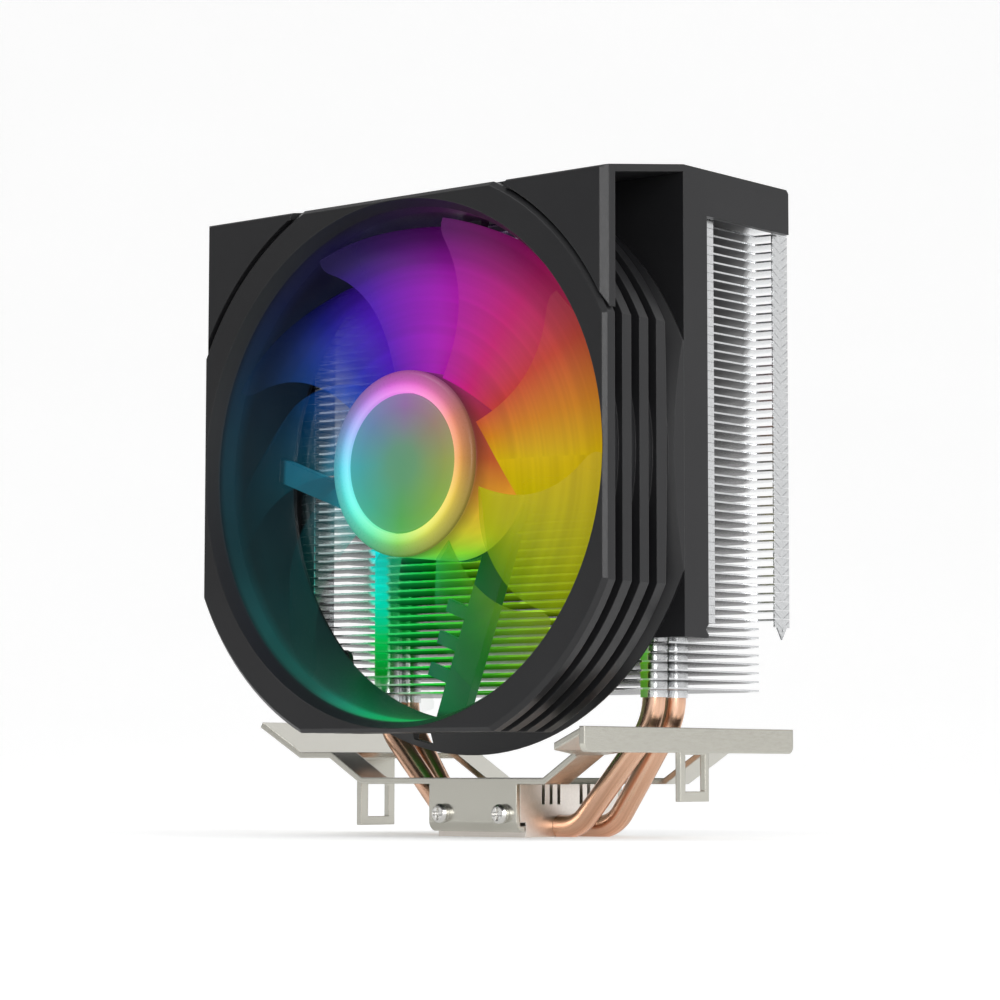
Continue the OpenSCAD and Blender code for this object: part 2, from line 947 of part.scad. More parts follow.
// Hub barrel and blades in one moulding
module impeller() {
    skin = 1.6;
    color([0.85, 0.9, 0.95, 0.6])
        fan_view()
            union() {
                translate([0, 0, -22.4])
                    difference() {
                        cylinder(r = hub_radius, h = 18.4);
                        translate([0, 0, -1])
                            cylinder(r = hub_radius - skin, h = 18.4 - skin + 1);
                    }
                for (k = [0:blade_count - 1])
                    rotate([0, 0, k * 360 / blade_count])
                        blade();
            }
}

module hub_lens() {
    color([0.95, 0.95, 1, 0.8])
        fan_view()
            rotate_extrude()
                polygon([
                    [hub_radius - lens_width, -4], [hub_radius, -4], [hub_radius, -3.4],
                    [hub_radius - 1.2, -2.5], [hub_radius - lens_width, -2.5]
                ]);
}

module hub_disc() {
    r = hub_radius - lens_width - 0.05;
    color([0.7, 0.8, 0.8])
        fan_view()
            rotate_extrude()
                polygon([[0, -4], [r, -4], [r, -2.8], [r - 0.5, -2.5], [0, -2.3]]);
}

// Steel cup inside the hub, with a bush that grips the shaft
module rotor_yoke() {
    r = hub_radius - 1.65;
    cup = 1.2;
    front = 5.65;
    color([0.6, 0.6, 0.62])
        fan_view()
            difference() {
                union() {
                    translate([0, 0, -20.4])
                        difference() {
                            cylinder(r = r, h = 20.4 - front);
                            translate([0, 0, -1])
                                cylinder(r = r - cup, h = 20.4 - front - cup + 1);
                        }
                    translate([0, 0, -front - 3.2])
                        cylinder(r = 3.2, h = 3);
                }
                translate([0, 0, -front - 4])
                    cylinder(r = shaft_radius, h = 6);
            }
}

module ring_magnet() {
    color([0.25, 0.24, 0.24])
        fan_ring(hub_radius - 2.9, 16.1, 8.4, 20);
}

module rotor_shaft() {
    color([0.8, 0.8, 0.82])
        fan_view()
            difference() {
                translate([0, 0, -25])
                    cylinder(r = shaft_radius, h = 25 - 5.7);
                translate([0, 0, -24.62])
                    difference() {
                        cylinder(r = shaft_radius + 1, h = 0.5);
                        translate([0, 0, -1])
                            cylinder(r = 1.1, h = 3);
                    }
            }
}

// Snap ring in the shaft's groove, behind the bearing
module shaft_clip() {
    color([0.9, 0.9, 0.85])
        fan_ring(2.6, 1.12, 24.16, 24.58);
}

base_block();
heat_pipe_front();
heat_pipe_rear();
tabbed_fins();
plain_fins();
mounting_clip();
front_clip_screws();
rear_clip_screws();
shroud();
fan_frame();
fan_screws();
bearing_sleeve();
bearing_cap();
stator_core();
coil_bobbins();
stator_windings();
motor_board();
board_leds();
speed_sensor();
impeller();
hub_lens();
hub_disc();
rotor_yoke();
ring_magnet();
rotor_shaft();
shaft_clip();
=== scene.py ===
import math

import bmesh
import bpy
from mathutils import Matrix, Vector


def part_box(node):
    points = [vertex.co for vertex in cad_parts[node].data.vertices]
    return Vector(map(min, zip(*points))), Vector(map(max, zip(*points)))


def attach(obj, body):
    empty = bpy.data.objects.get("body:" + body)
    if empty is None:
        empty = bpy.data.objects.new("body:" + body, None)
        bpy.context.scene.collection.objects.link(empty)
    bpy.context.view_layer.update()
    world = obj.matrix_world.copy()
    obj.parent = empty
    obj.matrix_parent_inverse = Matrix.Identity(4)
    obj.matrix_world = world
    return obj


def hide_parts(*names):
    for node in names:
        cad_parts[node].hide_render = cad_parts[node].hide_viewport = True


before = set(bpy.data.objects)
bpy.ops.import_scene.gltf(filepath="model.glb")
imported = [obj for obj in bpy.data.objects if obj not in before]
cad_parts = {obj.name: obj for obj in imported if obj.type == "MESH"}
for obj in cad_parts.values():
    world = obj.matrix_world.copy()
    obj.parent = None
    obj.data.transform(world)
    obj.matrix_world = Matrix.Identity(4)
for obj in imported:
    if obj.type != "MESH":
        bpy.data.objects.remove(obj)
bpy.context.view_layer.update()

MM = 0.001
scene = bpy.context.scene

# The fan's axis, front face and radii, in metres and millimetres
disc_low, disc_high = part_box("hub_disc")
lens_low, lens_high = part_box("hub_lens")
AXIS_Z = (disc_low.z + disc_high.z) / 2
FAN_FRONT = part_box("fan_frame")[0].y
HUB_RADIUS = (lens_high.x - lens_low.x) / 2 / MM
DISC_RADIUS = (disc_high.x - disc_low.x) / 2 / MM
TIP_RADIUS = (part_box("impeller")[1].z - AXIS_Z) / MM

# Depth of the blades' middle behind the fan's front
BLADE_MIDDLE = 12 * MM

# The fins' outline, in metres
fins_low, fins_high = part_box("tabbed_fins")
FIN_FRONT = fins_low.y
FIN_REAR = fins_high.y
FIN_SIDE = fins_high.x
FIN_TOP = fins_high.z
FIN_PITCH = 2 * MM
FIN_RECESS = 4.3 * MM
FIN_TAB = 5.9 * MM

# The heat pipes: radius, leg's offset and top in millimetres, and the front one's side and front in metres
pipe_low, pipe_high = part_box("heat_pipe_front")
PIPE_RADIUS = (pipe_high.y - pipe_low.y) / 2 / MM
LEG_OFFSET = pipe_high.x / MM - PIPE_RADIUS
PIPE_TOP = pipe_high.z / MM
LEG_SIDE = LEG_OFFSET * MM
LEG_FRONT = pipe_low.y


# ---------- Node helpers ----------


class Nodes:
    """Short names for building one material's node tree."""

    def __init__(self, name):
        self.material = bpy.data.materials.new(name)
        self.material.use_nodes = True
        self.tree = self.material.node_tree
        self.tree.nodes.clear()
        self.out = self.new("ShaderNodeOutputMaterial")

    def new(self, kind, **values):
        node = self.tree.nodes.new(kind)
        for key, value in values.items():
            setattr(node, key, value)
        return node

    def link(self, a, b):
        self.tree.links.new(a, b)

    def put(self, socket, value):
        if isinstance(value, bpy.types.NodeSocket):
            self.link(value, socket)
        else:
            socket.default_value = value

    def finish(self, shader):
        self.link(shader, self.out.inputs["Surface"])
        return self.material

    def object_place(self):
        return self.new("ShaderNodeTexCoord").outputs["Object"]

    def xyz(self):
        parts = self.new("ShaderNodeSeparateXYZ")
        self.link(self.object_place(), parts.inputs[0])
        return parts.outputs["X"], parts.outputs["Y"], parts.outputs["Z"]

    def scaled(self, place, scale):
        node = self.new("ShaderNodeMapping")
        self.link(place, node.inputs["Vector"])
        node.inputs["Scale"].default_value = scale
        return node.outputs["Vector"]

    def noise(self, place, scale, detail=3.0, rough=0.55):
        node = self.new("ShaderNodeTexNoise")
        self.link(place, node.inputs["Vector"])
        node.inputs["Scale"].default_value = scale
        node.inputs["Detail"].default_value = detail
        node.inputs["Roughness"].default_value = rough
        return node.outputs["Fac"]

    def span(self, value, low, high, to_low=0.0, to_high=1.0, smooth=False):
        """Value taken from the range low..high to the range to_low..to_high, and held at its ends."""
        kind = "SMOOTHSTEP" if smooth else "LINEAR"
        node = self.new("ShaderNodeMapRange", interpolation_type=kind)
        self.put(node.inputs["Value"], value)
        for name, number in (("From Min", low), ("From Max", high), ("To Min", to_low), ("To Max", to_high)):
            self.put(node.inputs[name], number)
        return node.outputs["Result"]

    def math(self, operation, a, b=0.0):
        node = self.new("ShaderNodeMath", operation=operation)
        self.put(node.inputs[0], a)
        self.put(node.inputs[1], b)
        return node.outputs[0]

    def apart(self, value, centre):
        return self.math("ABSOLUTE", self.math("SUBTRACT", value, centre))

    def times(self, *values):
        result = values[0]
        for value in values[1:]:
            result = self.math("MULTIPLY", result, value)
        return result

    def mix(self, factor, a, b, blend="MIX"):
        node = self.new("ShaderNodeMix", data_type="RGBA", blend_type=blend)
        self.put(node.inputs["Factor"], factor)
        self.put(node.inputs["A"], a)
        self.put(node.inputs["B"], b)
        return node.outputs["Result"]

    def ramp(self, value, stops):
        node = self.new("ShaderNodeValToRGB")
        points = node.color_ramp.elements
        while len(points) < len(stops):
            points.new(0.5)
        for point, (place, colour) in zip(points, stops):
            point.position = place
            point.color = colour if isinstance(colour, tuple) else (colour, colour, colour, 1.0)
        self.link(value, node.inputs["Fac"])
        return node.outputs["Color"]

    def varied(self, fac, low, high):
        """A number that wanders between two values with a noise."""
        return self.span(fac, 0.3, 0.7, low, high)

    def bump(self, height, distance, strength=1.0, normal=None):
        node = self.new("ShaderNodeBump")
        self.link(height, node.inputs["Height"])
        node.inputs["Distance"].default_value = distance
        node.inputs["Strength"].default_value = strength
        if normal is not None:
            self.link(normal, node.inputs["Normal"])
        return node.outputs["Normal"]

    def rounded(self, radius):
        node = self.new("ShaderNodeBevel", samples=4)
        node.inputs["Radius"].default_value = radius
        return node.outputs["Normal"]

    def principled(self, **values):
        node = self.new("ShaderNodeBsdfPrincipled")
        for name, value in values.items():
            self.put(node.inputs[name.replace("_", " ")], value)
        return node

    def round_the_fan(self, slant=0.0):
        """Angle round the fan's axis as 0 to 1, distance from the axis, and depth behind the fan's front.

        With a slant, the axis leans sideways with depth and crosses the fan's own axis at the blades' middle.
        """
        x, y, z = self.xyz()
        if slant:
            behind = self.math("SUBTRACT", y, FAN_FRONT + BLADE_MIDDLE)
            x = self.math("ADD", x, self.times(behind, slant))
        up = self.math("SUBTRACT", z, AXIS_Z)
        turn = self.math("DIVIDE", self.math("ARCTAN2", up, x), 2 * math.pi)
        turn = self.math("FRACT", self.math("ADD", turn, 1.0))
        radius = self.math("SQRT", self.math("ADD", self.times(x, x), self.times(up, up)))
        return turn, radius, self.math("SUBTRACT", y, FAN_FRONT)


def rgb(r, g, b):
    return (r, g, b, 1.0)


def srgb(r, g, b):
    return tuple((c / 255) ** 2.2 for c in (r, g, b)) + (1.0,)


def by_angle(*stops):
    """Ramp stops from pairs of an angle in degrees and a value."""
    return [(angle / 360, value) for angle, value in stops]


# The light's colours on the blades, anticlockwise from the right
BLADE_GLOW = by_angle(
    (0, srgb(205, 172, 12)),
    (14, srgb(208, 128, 28)),
    (30, srgb(205, 72, 55)),
    (52, srgb(208, 34, 120)),
    (85, srgb(172, 26, 190)),
    (112, srgb(92, 30, 196)),
    (132, srgb(36, 38, 190)),
    (152, srgb(20, 92, 190)),
    (180, srgb(30, 150, 180)),
    (215, srgb(30, 160, 150)),
    (262, srgb(20, 170, 90)),
    (292, srgb(58, 160, 30)),
    (325, srgb(160, 172, 12)),
    (360, srgb(205, 172, 12)),
)
# On the fins, where the light falls through the blades
FIN_GLOW = by_angle(
    (0, srgb(200, 190, 40)),
    (90, srgb(120, 60, 200)),
    (180, srgb(90, 190, 210)),
    (225, srgb(110, 220, 190)),
    (246, srgb(30, 195, 100)),
    (268, srgb(30, 190, 60)),
    (290, srgb(80, 200, 40)),
    (320, srgb(170, 200, 30)),
    (360, srgb(200, 190, 40)),
)
# On the duct's wall
DUCT_GLOW = by_angle(
    (0, srgb(190, 170, 30)),
    (40, srgb(200, 80, 70)),
    (70, srgb(150, 50, 130)),
    (100, srgb(70, 45, 140)),
    (135, srgb(30, 60, 150)),
    (170, srgb(36, 110, 140)),
    (215, srgb(36, 135, 135)),
    (245, srgb(16, 150, 125)),
    (264, srgb(0, 165, 90)),
    (285, srgb(10, 150, 60)),
    (320, srgb(110, 160, 40)),
    (360, srgb(190, 170, 30)),
)
# In the hub's ring, on its disc and on its barrel
LENS_GLOW = by_angle(
    (0, srgb(232, 158, 78)),
    (30, srgb(238, 140, 118)),
    (48, srgb(238, 128, 170)),
    (75, srgb(236, 106, 208)),
    (100, srgb(218, 100, 218)),
    (128, srgb(178, 130, 226)),
    (152, srgb(140, 170, 235)),
    (180, srgb(90, 215, 235)),
    (212, srgb(85, 240, 220)),
    (242, srgb(95, 232, 165)),
    (268, srgb(140, 222, 92)),
    (298, srgb(222, 226, 80)),
    (330, srgb(236, 204, 72)),
    (360, srgb(232, 158, 78)),
)
DISC_GLOW = by_angle(
    (0, srgb(142, 152, 74)),
    (40, srgb(148, 122, 108)),
    (85, srgb(140, 102, 158)),
    (135, srgb(95, 128, 170)),
    (180, srgb(58, 160, 165)),
    (225, srgb(58, 168, 138)),
    (270, srgb(78, 166, 76)),
    (320, srgb(122, 166, 62)),
    (360, srgb(142, 152, 74)),
)
BARREL_GLOW = by_angle(
    (0, srgb(176, 78, 40)),
    (30, srgb(150, 40, 60)),
    (60, srgb(120, 30, 90)),
    (100, srgb(120, 40, 140)),
    (140, srgb(70, 70, 170)),
    (180, srgb(30, 140, 160)),
    (230, srgb(40, 170, 130)),
    (268, srgb(60, 190, 80)),
    (290, srgb(130, 200, 50)),
    (312, srgb(200, 190, 45)),
    (338, srgb(205, 140, 40)),
    (360, srgb(176, 78, 40)),
)


# ---------- Materials ----------


def moulded_plastic(name, dark, light, rough):
    """Satin moulded plastic with a fine spark-eroded grain and slightly worn edges."""
    n = Nodes(name)
    return n.finish(plastic_shader(n, dark, light, rough).outputs[0])


def plastic_shader(n, dark, light, rough):
    place = n.object_place()
    cloud = n.noise(place, 38.0, 4.0)
    grain = n.noise(place, 2600.0, 2.0)
    shader = n.principled(
        Base_Color=n.mix(n.varied(cloud, 0.0, 1.0), dark, light),
        Roughness=n.varied(grain, rough - 0.04, rough + 0.05),
        Normal=n.bump(grain, 0.00002, 0.5, n.rounded(0.0003)),
    )
    shader.inputs["Specular IOR Level"].default_value = 0.34
    return shader


def metal_shader(
    n, dark, light, rough, along=(1.0, 1.0, 1.0), scale=900.0, edge=0.0002, depth=0.00001, smudge=18.0
):
    """Metal with fine marks stretched along one direction, and faint large smudges."""
    place = n.object_place()
    marks = n.noise(n.scaled(place, along), scale, 3.0)
    cloud = n.noise(place, smudge, 3.0)
    return n.principled(
        Base_Color=n.mix(n.span(marks, 0.25, 0.75), dark, light),
        Roughness=n.math("ADD", n.varied(marks, rough - 0.03, rough + 0.04), n.varied(cloud, 0.0, 0.04)),
        Normal=n.bump(marks, depth, 0.5, n.rounded(edge)),
        Metallic=1.0,
    )


def metal(name, dark, light, rough, **marks):
    n = Nodes(name)
    return n.finish(metal_shader(n, dark, light, rough, **marks).outputs[0])


def fan_plastic():
    """The frame's black plastic, with the fan's light on the duct's inside and on the struts."""
    n = Nodes("fan_frame_plastic")
    shader = plastic_shader(n, rgb(0.009, 0.009, 0.01), rgb(0.012, 0.012, 0.013), 0.36)
    turn, radius, depth = n.round_the_fan()
    inside = n.span(radius, 0.0577, 0.0582, 1.0, 0.0)
    wall = n.times(
        n.ramp(
            n.span(depth, 0.0, 0.028),
            [(0.1, 0.0), (0.17, 0.9), (0.26, 1.0), (0.4, 0.3), (0.62, 0.16), (1.0, 0.1)],
        ),
        n.ramp(turn, by_angle(
            (0, 0.4), (60, 0.1), (100, 0.05), (135, 0.08), (165, 0.14), (200, 0.15), (240, 0.3), (262, 1.0),
            (290, 0.9), (360, 0.4),
        )),
    )
    struts = n.times(
        n.span(depth, 0.009, 0.016),
        n.span(radius, 0.055, 0.0562, 1.0, 0.08),
        n.ramp(turn, by_angle(
            (0, 0.1), (60, 0.05), (110, 0.05), (140, 0.25), (165, 0.5), (200, 0.5), (245, 0.35), (270, 0.15),
            (360, 0.1),
        )),
    )
    cloud = n.varied(n.noise(n.object_place(), 60.0), 0.8, 1.1)
    n.put(shader.inputs["Emission Color"], n.ramp(turn, DUCT_GLOW))
    n.put(shader.inputs["Emission Strength"], n.times(inside, n.math("ADD", wall, struts), cloud))
    return n.finish(shader.outputs[0])


def lit_blade():
    """Frosted plastic lit from the hub: bright at the top and right, nearly clear at the lower left."""
    n = Nodes("lit_blade")
    turn, radius, _ = n.round_the_fan(0.6)
    colour = n.ramp(turn, BLADE_GLOW)
    rings = n.new("ShaderNodeCombineXYZ")
    n.link(radius, rings.inputs["X"])
    n.link(n.times(turn, 0.004), rings.inputs["Y"])
    streaks = n.noise(rings.outputs[0], 420.0, 2.0)
    rim = n.ramp(turn, by_angle(
        (0, 0.85), (30, 0.6), (60, 0.3), (90, 0.12), (130, 0.08), (240, 0.18), (290, 0.5), (330, 0.9),
        (360, 0.85),
    ))
    power = n.ramp(turn, by_angle(
        (0, 0.9), (40, 0.78), (90, 0.8), (130, 0.75), (170, 0.95), (220, 0.95), (300, 0.8), (360, 0.9),
    ))
    strength = n.times(
        n.span(radius, 0.036, 0.056, 1.0, rim, smooth=True),
        n.varied(streaks, 0.86, 1.08),
        power,
    )
    solid = n.ramp(turn, by_angle(
        (0, 0.97), (100, 0.99), (120, 0.9), (134, 0.6), (147, 0.25), (162, 0.08), (190, 0.03), (265, 0.03),
        (285, 0.12), (303, 0.3), (322, 0.5), (342, 0.85), (360, 0.97),
    ))
    near_hub = n.span(radius, 0.021, 0.036, 0.42, 0.0, smooth=True)
    shader = n.principled(
        Base_Color=n.mix(0.98, colour, rgb(0.01, 0.01, 0.01)),
        Roughness=n.varied(streaks, 0.36, 0.44),
        Alpha=n.math("MAXIMUM", solid, near_hub),
    )
    shader.inputs["Specular IOR Level"].default_value = 0.08
    n.put(shader.inputs["Emission Color"], colour)
    n.put(shader.inputs["Emission Strength"], strength)
    return n.finish(shader.outputs[0])


def lit_hub(name, glow, middle, share, strength, rough):
    """Milky plastic that glows in colours by angle, mixed with one more colour by a share.

    The share and the strength are lists of a radius in millimetres and a value. A ramp holds values up
    to one, so it carries half of each strength.
    """
    n = Nodes(name)
    turn, radius, _ = n.round_the_fan()
    reach = n.span(radius, 0.0, HUB_RADIUS * MM)
    colour = n.mix(n.ramp(reach, [(r / HUB_RADIUS, v) for r, v in share]), n.ramp(turn, glow), middle)
    half_strength = n.ramp(reach, [(r / HUB_RADIUS, v / 2) for r, v in strength])
    grain = n.noise(n.object_place(), 1500.0, 2.0)
    shader = n.principled(
        Base_Color=n.mix(0.95, colour, rgb(0.02, 0.02, 0.02)),
        Roughness=n.varied(grain, rough - 0.05, rough + 0.05),
        Normal=n.bump(grain, 0.00001, 0.4),
    )
    shader.inputs["Specular IOR Level"].default_value = 0.2
    n.put(shader.inputs["Emission Color"], colour)
    n.put(shader.inputs["Emission Strength"], n.times(half_strength, 2.0))
    return n.finish(shader.outputs[0])


def hub_side():
    """The hub's barrel: glowing in colours by angle, with a painted shadow line behind the lens."""
    n = Nodes("lit_barrel")
    turn, _, depth = n.round_the_fan()
    colour = n.ramp(turn, BARREL_GLOW)
    shader = n.principled(Base_Color=n.mix(0.9, colour, rgb(0.02, 0.02, 0.02)), Roughness=0.4)
    shader.inputs["Specular IOR Level"].default_value = 0.15
    # A painted shadow dims the barrel's glow just behind the lens
    shadow = n.ramp(
        n.span(depth, 0.003, 0.023), [(0.02, 0.3), (0.12, 0.5), (0.3, 0.95), (0.75, 1.0), (1.0, 0.75)]
    )
    cloud = n.varied(n.noise(n.object_place(), 90.0), 0.85, 1.1)
    n.put(shader.inputs["Emission Color"], colour)
    n.put(shader.inputs["Emission Strength"], n.times(shadow, cloud))
    return n.finish(shader.outputs[0])


def fin_gap_shade(n, flat, aside, y):
    """How much painted shade darkens a fin's flat side: full between the fins, less at its edges and towards
    the rear tabs.
    """
    inward = n.math("SUBTRACT", FIN_SIDE - FIN_RECESS, aside)
    near_side = n.math("SUBTRACT", y, n.times(inward, 1.2))
    return n.times(
        flat,
        n.span(y, FIN_FRONT + 0.0004, FIN_FRONT + 0.0024),
        n.span(y, FIN_REAR - 0.0004, FIN_REAR - 0.0024, 0.2, 1.0),
        n.span(near_side, FIN_REAR - 0.008, FIN_REAR - 0.0105, 0.1, 1.0),
        n.span(aside, FIN_SIDE - 0.0006, FIN_SIDE - 0.002),
    )


def tab_zigzag_shade(n, aside, y, z):
    """Painted shade in a zigzag on the folded rear tabs, where each tab's point overlaps the next."""
    row = n.math("FRACT", n.math("DIVIDE", n.math("SUBTRACT", FIN_TOP, z), FIN_PITCH))
    off_middle = n.span(n.apart(y, FIN_REAR - FIN_TAB / 2), 0.0, FIN_TAB / 2)
    line = n.math("FRACT", n.math("ADD", row, n.times(off_middle, 0.9)))
    return n.times(
        n.span(line, 0.0, 0.2, 1.0, 0.0),
        n.span(n.noise(n.object_place(), 900.0), 0.35, 0.6),
        n.span(aside, FIN_SIDE - 0.0002, FIN_SIDE - 0.0001),
        n.span(y, FIN_REAR - FIN_TAB - 0.0001, FIN_REAR - FIN_TAB),
        0.8,
    )


def leg_light(n, x, y, z):
    """Where light falls on the front pipe's collars: the whole left leg, and a line on the right one."""
    slanted = n.math("ADD", x, n.times(n.math("SUBTRACT", y, LEG_FRONT), 0.83))
    left = n.times(
        n.span(n.apart(slanted, -LEG_SIDE), 0.0022, 0.0036, 1.0, 0.0),
        n.span(z, 0.033, 0.038),
        n.span(z, 0.07, 0.08, 1.0, 0.2),
    )
    right = n.times(
        n.span(n.apart(slanted, LEG_SIDE - 0.0009), 0.0008, 0.0013, 0.8, 0.0),
        n.span(z, 0.05, 0.06, 1.0, 0.0),
    )
    front = n.span(y, LEG_FRONT + 0.0024, LEG_FRONT + 0.0034, 1.0, 0.0)
    return n.times(n.math("MAXIMUM", left, right), front)


def leg_glow(n, z):
    """The light's colour by height on the heat pipe's left leg and on the collars round it."""
    return n.ramp(n.span(z, 0.035, 0.09), [
        (0.05, srgb(10, 130, 30)),
        (0.2, srgb(0, 190, 80)),
        (0.45, srgb(0, 235, 215)),
        (1.0, srgb(40, 120, 200)),
    ])


def fin_metal():
    """Bright rolled aluminium: painted shade between the fins, lit in the light's colours where it faces the
    fan.
    """
    n = Nodes("fin_aluminium")
    shader = metal_shader(
        n, rgb(0.74, 0.75, 0.76), rgb(0.86, 0.87, 0.88), 0.2,
        along=(1.0, 12.0, 12.0), scale=220.0, edge=0.00006, depth=0.000004,
    )
    turn, _, _ = n.round_the_fan(0.8)
    _, radius, _ = n.round_the_fan()
    x, y, z = n.xyz()
    aside = n.math("ABSOLUTE", x)
    facing = n.new("ShaderNodeSeparateXYZ")
    n.link(n.new("ShaderNodeTexCoord").outputs["Normal"], facing.inputs[0])
    flat = n.span(n.math("ABSOLUTE", facing.outputs["Z"]), 0.6, 0.8)
    # Painted shade on the fins' flat sides between the fins
    painted_gap_shade = fin_gap_shade(n, flat, aside, y)
    leg = leg_light(n, x, y, z)
    clean = shader.inputs["Base Color"].links[0].from_socket
    # Painted shade in a zigzag where the rear tabs overlap
    folded = n.mix(tab_zigzag_shade(n, aside, y, z), clean, rgb(0.24, 0.25, 0.26))
    unlit = n.mix(painted_gap_shade, folded, rgb(0.1, 0.102, 0.108))

    # The light fades with depth, at the right-hand side and beyond the opening
    inside = n.span(radius, 0.052, 0.058, 1.0, 0.0)
    reach = n.times(
        n.span(y, FIN_FRONT, FIN_FRONT + 0.022, 1.0, 0.0),
        n.span(x, 0.03, 0.038, 1.0, 0.0),
    )
    tint = n.times(inside, n.span(reach, 0.0, 0.15), n.ramp(turn, by_angle(
        (0, 0.85), (90, 0.2), (165, 0.15), (205, 0.22), (225, 0.35), (240, 0.7), (250, 0.95), (270, 1.0),
        (360, 0.85),
    )))
    power = n.ramp(turn, by_angle(
        (0, 0.6), (90, 0.1), (165, 0.03), (215, 0.05), (232, 0.12), (246, 0.5), (290, 0.65), (360, 0.6),
    ))
    glow = n.ramp(turn, FIN_GLOW)
    glow_in_gap = n.mix(0.75, glow, rgb(0.0, 0.0, 0.0))
    lit = n.mix(tint, unlit, n.mix(painted_gap_shade, glow, glow_in_gap))
    strength = n.times(reach, n.span(flat, 0.0, 1.0, 1.0, 0.55), inside, power)
    n.put(shader.inputs["Base Color"], n.mix(leg, lit, rgb(0.02, 0.05, 0.04)))
    # Where shade between the fins or the legs' light is painted, the fins are not metallic
    n.put(shader.inputs["Metallic"], n.math("SUBTRACT", 1.0, n.math("MAXIMUM", painted_gap_shade, leg)))
    n.put(shader.inputs["Specular IOR Level"], n.span(tint, 0.2, 0.7, 0.018, 0.0))
    n.put(shader.inputs["Emission Color"], n.mix(leg, glow, leg_glow(n, z)))
    n.put(shader.inputs["Emission Strength"], n.math("MAXIMUM", strength, n.times(leg, 0.85)))
    return n.finish(shader.outputs[0])


def pipe_copper():
    """Drawn copper with fine lines along the pipe, lit green where it faces the fan."""
    n = Nodes("pipe_copper")
    shader = metal_shader(
        n, rgb(0.5, 0.27, 0.17), rgb(0.88, 0.58, 0.42), 0.24,
        along=(0.02, 1.0, 0.02), edge=0.0001, smudge=30.0,
    )
    _, radius, _ = n.round_the_fan()
    _, y, z = n.xyz()
    facing = n.span(y, -0.0042, -0.0056)
    inside = n.span(radius, 0.05, 0.058, 1.0, 0.0)
    above_bend = n.span(z, 0.036, 0.044)
    n.put(shader.inputs["Emission Color"], leg_glow(n, z))
    n.put(shader.inputs["Emission Strength"], n.times(facing, inside, above_bend, 0.9))
    return n.finish(shader.outputs[0])


black_frame = fan_plastic()
black_shroud = moulded_plastic("shroud_plastic", rgb(0.009, 0.009, 0.01), rgb(0.012, 0.012, 0.013), 0.38)
dark_plastic = moulded_plastic("motor_plastic", rgb(0.02, 0.02, 0.02), rgb(0.03, 0.03, 0.03), 0.5)
light_plastic = moulded_plastic("bobbin_plastic", rgb(0.75, 0.74, 0.68), rgb(0.82, 0.81, 0.76), 0.45)
board_green = moulded_plastic("board_laminate", rgb(0.01, 0.08, 0.03), rgb(0.02, 0.12, 0.05), 0.35)
aluminium_fin = fin_metal()
aluminium_block = metal(
    "block_aluminium", rgb(0.82, 0.76, 0.7), rgb(0.9, 0.84, 0.78), 0.3,
    along=(0.08, 1.0, 1.0), scale=1500.0,
)
copper = pipe_copper()
clip_nickel = metal(
    "clip_nickel", rgb(0.56, 0.545, 0.485), rgb(0.58, 0.565, 0.505), 0.2,
    along=(1.0, 0.2, 1.0), scale=2400.0, edge=0.00045, depth=0.000002, smudge=6.0,
)
screw_zinc = metal("screw_zinc", rgb(0.74, 0.73, 0.7), rgb(0.84, 0.83, 0.81), 0.22, scale=1500.0, edge=0.0004)
dark_steel = metal("black_steel", rgb(0.05, 0.05, 0.05), rgb(0.09, 0.09, 0.09), 0.4)
ferrite = metal("ferrite", rgb(0.07, 0.07, 0.07), rgb(0.1, 0.1, 0.1), 0.55)
coil_wire = metal(
    "coil_wire", rgb(0.5, 0.22, 0.08), rgb(0.7, 0.34, 0.13), 0.3, along=(1.0, 1.0, 9.0), scale=500.0
)
bronze = metal("sintered_bronze", rgb(0.5, 0.33, 0.15), rgb(0.62, 0.43, 0.2), 0.45)
blade_light = lit_blade()
barrel_light = hub_side()
ring_light = lit_hub(
    "lit_lens",
    LENS_GLOW,
    rgb(1.0, 1.0, 1.0),
    [(15.0, 0.1), (16.6, 0.08), (18.0, 0.0), (21.0, 0.0)],
    [(15.0, 0.85), (16.2, 1.1), (17.4, 0.95), (18.6, 0.6), (20.0, 0.42), (20.7, 0.34), (21.0, 0.18)],
    0.3,
)
disc_light = lit_hub(
    "lit_disc",
    DISC_GLOW,
    srgb(90, 152, 112),
    [(0.0, 1.0), (4.0, 0.85), (8.0, 0.4), (13.0, 0.0)],
    [(0.0, 0.8), (12.0, 0.84), (15.5, 0.95)],
    0.35,
)

NODE_MATERIALS = {
    "base_block": aluminium_block,
    "heat_pipe_front": copper,
    "heat_pipe_rear": copper,
    "tabbed_fins": aluminium_fin,
    "plain_fins": aluminium_fin,
    "mounting_clip": clip_nickel,
    "front_clip_screws": screw_zinc,
    "rear_clip_screws": screw_zinc,
    "shroud": black_shroud,
    "fan_frame": black_frame,
    "fan_screws": dark_steel,
    "bearing_sleeve": bronze,
    "bearing_cap": dark_plastic,
    "stator_core": screw_zinc,
    "coil_bobbins": light_plastic,
    "stator_windings": coil_wire,
    "motor_board": board_green,
    "board_leds": ring_light,
    "speed_sensor": dark_plastic,
    "impeller": blade_light,
    "hub_lens": ring_light,
    "hub_disc": disc_light,
    "rotor_yoke": dark_steel,
    "ring_magnet": ferrite,
    "rotor_shaft": screw_zinc,
    "shaft_clip": light_plastic,
}

for node_name, material in NODE_MATERIALS.items():
    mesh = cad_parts[node_name].data
    mesh.materials.clear()
    mesh.materials.append(material)


# ---------- Pieces ----------


